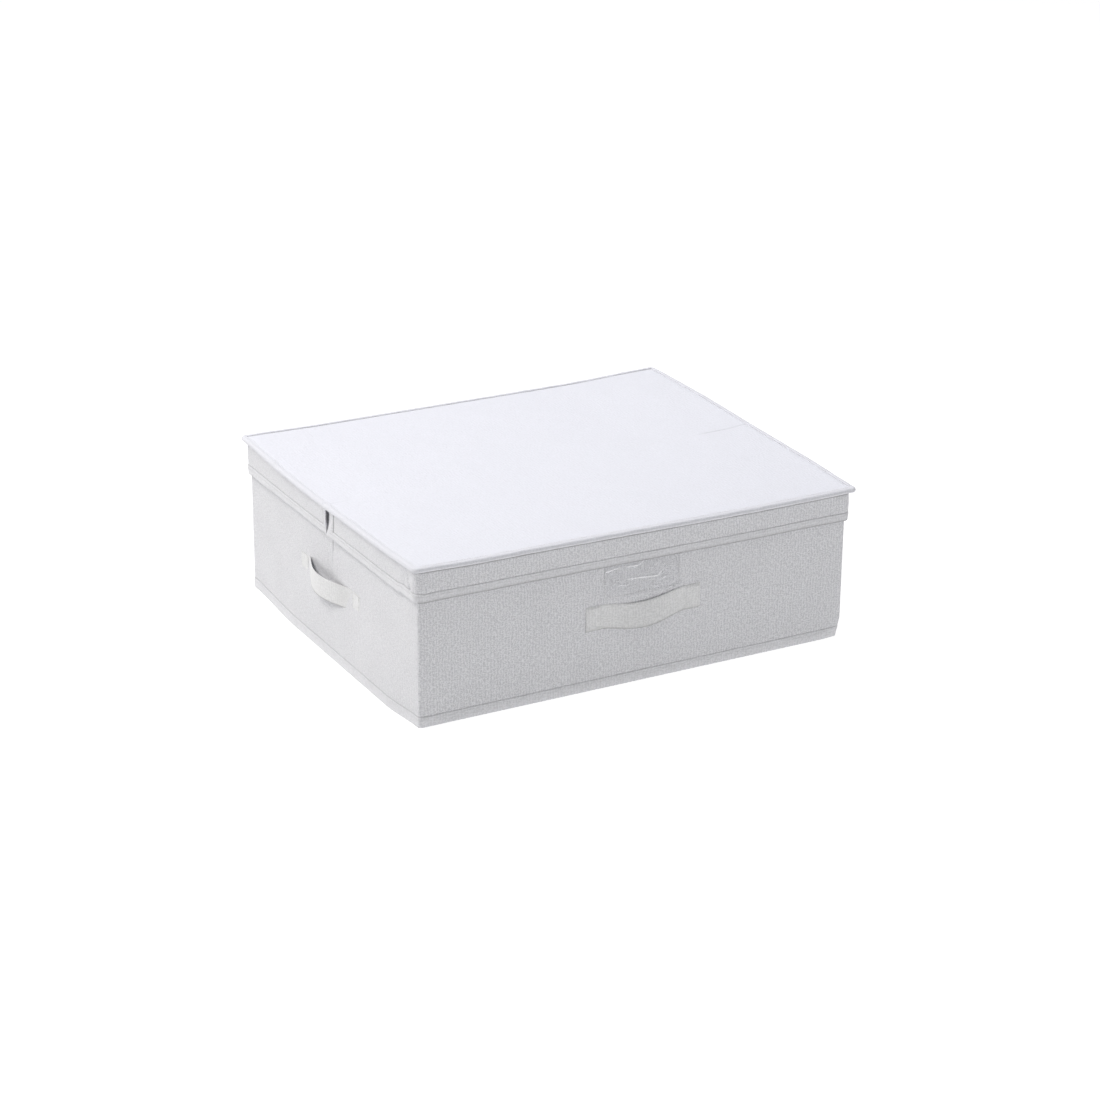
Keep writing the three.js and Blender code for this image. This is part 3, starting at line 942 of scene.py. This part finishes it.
def build_skirt(leaf, s_from, s_to, edges):
    """One leaf's skirt from slit to slit, its hem, and the tape on its upright edges."""
    marks = [(s_from, 26, 1.8), (s_to, 26, 1.8), (SKIRT.left(-222), 22, 1.5)]
    stations = SKIRT.stations(s_from, s_to, 6.0, marks)
    cloth_loop, hem_loop = skirt_layers()
    build = Build()
    sweep(build, SKIRT, stations, cloth_loop, skirt_warp, fade=shade_on_skirt)
    flaps = build.make(f"{leaf}_skirt", [LINEN])
    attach(flaps, leaf)
    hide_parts(f"{leaf}_skirt_long", f"{leaf}_skirt_left", f"{leaf}_skirt_right")
    build = Build()
    stations = SKIRT.stations(s_from - 0.5, s_to + 0.5, 6.0, marks)
    sweep(build, SKIRT, stations, hem_loop, skirt_warp, fade=shade_on_skirt)
    stitch_line(build, SKIRT, s_from, s_to, -4.72, 163.8, skirt_warp)
    hem = build.make(f"{leaf}_skirt_hem", [TAPE, THREAD])
    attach(hem, leaf)
    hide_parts(f"{leaf}_hem")
    for s_edge, inward, (side, width) in ((s_from, 1, edges[0]), (s_to, -1, edges[1])):
        build = Build()
        bound_edge(build, s_edge, inward, width, skirt_warp)
        edge = build.make(f"{leaf}_slit_binding_{side}", [TAPE, THREAD])
        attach(edge, leaf)
        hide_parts(f"{leaf}_slit_tape_{side}")


# ---- Handles ----

STRAP_HALF = 15.0  # half the width of a strap
STRAP_TAB = 22.0  # how much of each end is sewn down


def build_handle(
    name, side, span, bow, height, shift, sag, rise=0.0, peak=0.0, full=0.85, wide=1.05, roll=0.0, shade_patch=0.0
):
    """A flat strap sewn down at both ends. side gives its origin and axes.

    bow is how far it stands off the wall, and sag how far it hangs. rise slants it, peak moves its fullest
    place, full shapes the bow, roll leans it, and the last argument darkens a patch of it with painted shade.
    """
    half, bow_half = span / 2, span / 2 - STRAP_TAB
    ends = [-half, -half + 0.6, -half + 1.6]
    us = np.concatenate([ends, steps(-half + 3, -bow_half, 3), steps(-bow_half, bow_half, 2.6)[1:]])
    us = np.concatenate([us, -us[: int(np.sum(us < -bow_half))][::-1]])
    us = np.unique(np.round(us, 4))
    inside = np.abs(us) < bow_half
    t = np.clip(us / bow_half, -1, 1)
    skew = np.clip(t - peak * (1 - t**2), -1, 1)
    off = np.where(inside, bow * (0.5 * (1 + np.cos(math.pi * skew))) ** full, 0.0)
    drop = -sag * (1 - t**2) ** 1.5 * inside
    end = smooth(1 - (half - np.abs(us)) / 1.4)
    folded = smooth((np.abs(us) - bow_half - 1) / 2.5)
    thick = 1.1 + 0.8 * folded - 0.5 * end
    profile = [(-15, 0.15), (-14.7, 0.8), (-13.6, 1.0), (-12, 0.94), (-6, 1.0), (0, 1.02), (6, 1.0)]
    profile += [(12, 0.92), (13.4, 0.85), (14.5, 0.5), (15, 0.15)]
    slope = np.gradient(off, us)
    ulen = np.concatenate([[0], np.cumsum(np.hypot(np.diff(us), np.diff(off)))])
    out = []
    for i, u in enumerate(us):
        nu = -slope[i] / math.hypot(1, slope[i])
        face, back = [], []
        for w, k in profile:
            stand = off[i] * (1 - roll * w / STRAP_HALF)
            cup = 0.35 * (w / STRAP_HALF) ** 2 * inside[i]
            up = w * wide + drop[i] + rise * u
            face.append((u + nu * thick[i] * k, stand + thick[i] * k + cup, up))
            back.append((u, stand + 0.1 + cup, up))
        out.append(face + back[-2:0:-1])
    local = np.array(out)
    origin, along, outward, upward = (np.array(q, float) for q in (*side, (0, 0, 1)))
    place = lambda q: (
        origin + (q[..., 0:1] + shift) * along + q[..., 1:2] * outward + (q[..., 2:3] + height) * upward
    )
    p = place(local)
    m = local.shape[1]
    u = np.repeat(ulen[:, None], m, 1)
    girth = np.cumsum(np.linalg.norm(np.diff(local[10], axis=0), axis=1))
    v = rows([0.0, *girth], len(us))
    build = Build()
    # Painted shade along the strap's lower edge, and on a patch of its bow.
    edge_shade = np.zeros(m)
    edge_shade[[0, 1, 2]] = 1.0, 0.9, 0.3
    marks = np.maximum(edge_shade[None, :], shade_patch * hill(us, 42, 20)[:, None])
    base = build.grid(p, u, v, marks, closed_v=True)
    build.cap([base + j for j in range(m)])
    build.cap([base + (len(us) - 1) * m + j for j in reversed(range(m))])
    on_top = 1.92  # the stitches lie on the folded end's face
    for sign in (-1, 1):
        a, b = sign * (half - 2.6), sign * (bow_half + 2.2)
        low, high = rise * a - 12.6, rise * b + 12.6
        box_line = np.array([(q, on_top, w) for q, w in ((a, low), (b, low), (b, high), (a, high), (a, low))])
        stitch_path(build, place(box_line), outward, pitch=3.2)
    return build.make(name, [STRAP, THREAD], sharp=55)


def build_handles():
    side = ((0, -BOX_Y, 0), (1, 0, 0), (0, -1, 0))
    lie = dict(span=156, bow=3.4, height=94.6, shift=6.2, sag=7.4, rise=0.022, roll=0.75)
    front = build_handle("front_handle_strap", side, **lie)
    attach(front, "front_wall")
    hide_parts("front_handle")
    side = ((-BOX_X, 0, 0), (0, -1, 0), (-1, 0, 0))
    # The left strap gets a patch of painted shade on its bow.
    lie = dict(span=168, bow=11.0, height=93.7, shift=1.2, sag=5.3, peak=-0.3, full=0.7, wide=0.93, shade_patch=0.16)
    left = build_handle("left_handle_strap", side, **lie)
    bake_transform(left)
    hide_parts("left_handle")
    side = ((BOX_X, 0, 0), (0, 1, 0), (1, 0, 0))
    right = build_handle("right_handle_strap", side, span=168, bow=12, height=92, shift=0, sag=3.0, wide=0.95)
    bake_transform(right)
    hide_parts("right_handle")


# ---- Label pocket ----

FILM_SEED = 5
SHORT_CREASES = 9


def film_creases(wide, tall):
    """The film's creases: middle, length, tilt in degrees, half width and strength."""
    creases = [
        (0.12 * wide, 0.88 * tall, 20, 10, 0.8, 0.8),
        (0.35 * wide, 0.88 * tall, 18, -5, 0.7, 0.9),
        (0.50 * wide, 0.48 * tall, 40, -4, 0.7, 1.0),
        (0.72 * wide, 0.50 * tall, 7, 45, 0.7, 1.0),
    ]
    pick = np.random.default_rng(FILM_SEED)
    for _ in range(SHORT_CREASES):
        x, z = pick.uniform(0.05, 0.95) * wide, pick.uniform(0.1, 0.9) * tall
        length, tilt = pick.uniform(4, 14), pick.uniform(-40, 40)
        half, strength = pick.uniform(0.7, 1.8), pick.uniform(0.3, 0.8)
        creases.append((x, z, length, tilt, half, strength))
    return creases


def crinkle_at(across, up, wide, tall):
    """How strongly the film is creased at each point, between 0 and 1."""
    total = np.zeros_like(across)
    for x, z, length, tilt, half, strength in film_creases(wide, tall):
        c, d = math.cos(math.radians(tilt)), math.sin(math.radians(tilt))
        along = (across - x) * c + (up - z) * d
        aside = (up - z) * c - (across - x) * d
        away = np.hypot(np.maximum(np.abs(along) - length / 2, 0), aside)
        total = np.maximum(total, strength * hill(away, 0, half))
    return total


def build_pocket():
    """Clear, crinkled film, sewn down on three sides."""
    x0, x1, z0, z1 = -48.5, 56.5, 113.0, 156.0
    gx, gz = np.meshgrid(steps(x0, x1, 0.65), steps(z0, z1, 0.6), indexing="ij")
    side = np.minimum(gx - x0, x1 - gx)
    low = gz - z0
    free = smooth((side - 3.5) / 7) * smooth((low - 3.5) / 7)
    ridge = np.abs(ripple(gx, gz, 31, 3))
    fold = np.abs(ripple(gx + 0.6 * gz, gz - 0.3 * gx, 17, 8))
    # glint lifts the film along its creases, and is also painted on them as highlight.
    glint = crinkle_at(gx - x0, low, x1 - x0, z1 - z0)
    lift = 0.3 + free * (0.35 + 0.8 * (1 - ridge) ** 3 + 0.4 * (1 - fold) ** 4) + 0.5 * glint
    y = -BOX_Y - np.minimum(lift, 2.6) - 0.3
    build = Build()
    face, back = (np.stack([gx, q, gz], -1) for q in (y, y + 0.2))
    build.slab(face, back, gx, gz, glint, turn=lambda edge: edge[:1] + edge[:0:-1])
    depth = -BOX_Y - 0.66
    corners = ((x0 + 2, z1 - 1), (x0 + 2, z0 + 2), (x1 - 2, z0 + 2), (x1 - 2, z1 - 1))
    path = [(x, depth, z) for x, z in corners]
    stitch_path(build, path, (0, -1, 0), pitch=3.0)
    pocket = build.make("label_pocket_film", [FILM, THREAD], sharp=80)
    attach(pocket, "front_wall")
    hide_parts("label_pocket")


# ---- Floor of the box ----


def build_floor_cloth():
    """The floor cloth, stretched between the walls."""
    ex, ey = BOX_X - 4.3, BOX_Y - 4.3
    gx, gy = np.meshgrid(steps(-ex, ex, 12), steps(-ey, ey, 12), indexing="ij")
    edge = smooth((ex - np.abs(gx)) / 40) * smooth((ey - np.abs(gy)) / 40)
    z = 1.0 + edge * (0.35 + 0.35 * ripple(gx, gy, 140, 5)) + 0.5 * hill(gy, 0, 2.5) * edge
    build = Build()
    build.slab(np.stack([gx, gy, z], -1), np.stack([gx, gy, z * 0 + 0.02], -1), gx, gy)
    obj = build.make("floor_sheet", [LINEN])
    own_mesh(obj)
    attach(obj, "box")
    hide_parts("floor_cloth")


# ---- Stage ----

CAMERA_LENS = 97.884  # mm, on a sensor 36 mm wide
CAMERA_TURN = (-0.50014, 0.38532, 0.00827)  # azimuth, elevation and roll in radians
CAMERA_PLACE = (3.773923, 0.010225, 0.076103)  # away from the origin, across and up, in metres


def build_stage():
    bpy.ops.mesh.primitive_plane_add(size=60, location=(0, 0, 0))
    ground = bpy.context.object
    ground.name = "stage_ground"
    ground.data.materials.append(floor_material())

    world = bpy.data.worlds.new("studio")
    bpy.context.scene.world = world
    world.use_nodes = True
    back = world.node_tree.nodes["Background"]
    back.inputs["Color"].default_value = (1.0, 1.0, 1.0, 1)
    back.inputs["Strength"].default_value = 0.10

    def lamp(name, place, target, size, power, colour):
        data = bpy.data.lights.new(name, "AREA")
        data.shape, data.size, data.energy, data.color = "SQUARE", size, power, colour
        obj = bpy.data.objects.new(name, data)
        obj.location = place
        aim = Vector(target) - Vector(place)
        obj.rotation_mode = "QUATERNION"
        obj.rotation_quaternion = aim.to_track_quat("-Z", "Y")
        bpy.context.scene.collection.objects.link(obj)

    lamp("key", (-2.2, 1.3, 3.2), (0, 0, 0.1), 2.2, 113, (1.0, 0.985, 0.965))
    lamp("top", (0.3, 0.4, 3.4), (0, 0, 0.1), 2.6, 53, (0.92, 0.94, 1.0))
    lamp("front", (1.0, -2.1, 3.1), (0, 0, 0.1), 2.6, 24, (1.0, 1.0, 1.0))

    data = bpy.data.cameras.new("camera")
    data.sensor_width = 36.0
    data.lens = CAMERA_LENS
    data.clip_end = 100
    camera = bpy.data.objects.new("camera", data)
    bpy.context.scene.collection.objects.link(camera)
    az, el, roll = CAMERA_TURN
    away = Vector((math.sin(az) * math.cos(el), -math.cos(az) * math.cos(el), math.sin(el)))
    right = Vector((math.cos(az), math.sin(az), 0))
    up = away.cross(right)
    x_axis = right * math.cos(roll) + up * math.sin(roll)
    y_axis = -right * math.sin(roll) + up * math.cos(roll)
    distance, across, above = CAMERA_PLACE
    place = away * distance + x_axis * across + y_axis * above
    turn = Matrix((x_axis, y_axis, away)).transposed()
    camera.matrix_world = Matrix.Translation(place) @ turn.to_4x4()
    bpy.context.scene.camera = camera
    bpy.context.scene.view_settings.view_transform = "Standard"


build_walls()
build_boards()
build_lid_top()
front_end = SKIRT.right(RIGHT_SLIT[0])
build_skirt("lid_front", SKIRT.left(LEFT_SLIT[0]), front_end, (("left", 10.5), ("right", 9.0)))
rear_end = SKIRT.left(LEFT_SLIT[1]) + SKIRT.length
build_skirt("lid_rear", SKIRT.right(RIGHT_SLIT[1]), rear_end, (("right", 9.0), ("left", 7.4)))
build_handles()
build_pocket()
build_floor_cloth()
build_stage()
